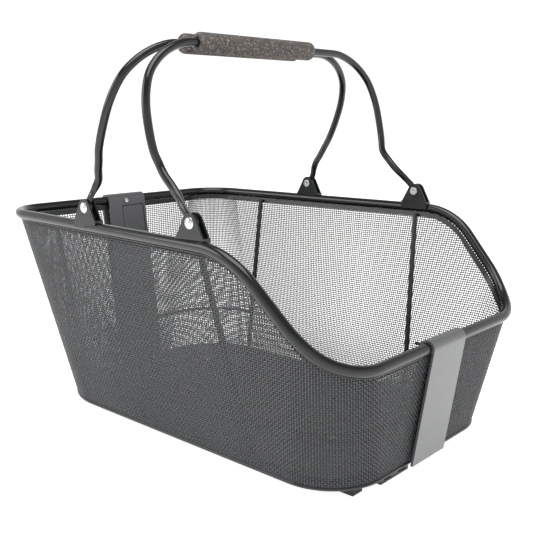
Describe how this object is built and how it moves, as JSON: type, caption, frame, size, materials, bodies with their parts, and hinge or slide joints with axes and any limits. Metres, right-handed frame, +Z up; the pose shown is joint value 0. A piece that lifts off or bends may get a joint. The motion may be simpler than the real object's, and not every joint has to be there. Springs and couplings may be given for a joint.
{
  "type": "bicycle rack basket",
  "caption": "Wire-mesh rear-rack basket with a black tube rim that dips at one end, sheet end straps, rack rails and two fold-down bail handles with cork grips.",
  "frame": {"origin": "centre of the four rack bolt holes, at the face that the rack rails stand on", "axes": "+X along the basket towards its low end, +Y to its left side, +Z up"},
  "size_m": [0.4307, 0.3294, 0.3555],
  "materials": {
    "rim_paint": "gloss",
    "frame_paint": "satin",
    "wire_mesh": "satin",
    "floor_plastic": "matt",
    "strap_paint": "satin",
    "bright_steel": "polished",
    "bracket_paint": "satin",
    "bail_paint": "gloss",
    "cork_rubber": "matt, flecked with cork",
    "rail_plastic": "matt",
    "foot_rubber": "matt"
  },
  "bodies": {
    "basket": {"rim_bead": "rim_paint", "rim_band": "frame_paint", "mesh_right": "wire_mesh", "mesh_left": "wire_mesh", "base_wire_ring": "frame_paint", "floor_panel": "floor_plastic", "rib_high_right": "frame_paint", "rib_high_left": "frame_paint", "rib_low_right": "frame_paint", "rib_low_left": "frame_paint", "brace_high": "frame_paint", "brace_low": "frame_paint", "strap_high": "strap_paint", "strap_low": "strap_paint", "strap_cover_plate": "strap_paint", "strap_screws": "bright_steel", "bracket_high_right": "bracket_paint", "bracket_high_left": "bracket_paint", "bracket_low_right": "bracket_paint", "bracket_low_left": "bracket_paint", "rivets_high": "bright_steel", "rivets_low": "bright_steel", "rack_rail_right": "rail_plastic", "rack_rail_left": "rail_plastic", "feet": "foot_rubber", "floor_screws": "bright_steel"},
    "high_bail": {"bail_high": "bail_paint", "grip_high": "cork_rubber"},
    "low_bail": {"bail_low": "bail_paint", "grip_low": "cork_rubber"}
  },
  "joints": [
    {"name": "high_bail_fold", "type": "hinge", "parent": "basket", "child": "high_bail", "pos_m": [-0.064, 0, 0.21], "axis": [0, 1, 0], "range_deg": [-111, 0]},
    {"name": "low_bail_fold", "type": "hinge", "parent": "basket", "child": "low_bail", "pos_m": [0.0735, 0, 0.21], "axis": [0, 1, 0], "range_deg": [0, 146]}
  ]
}
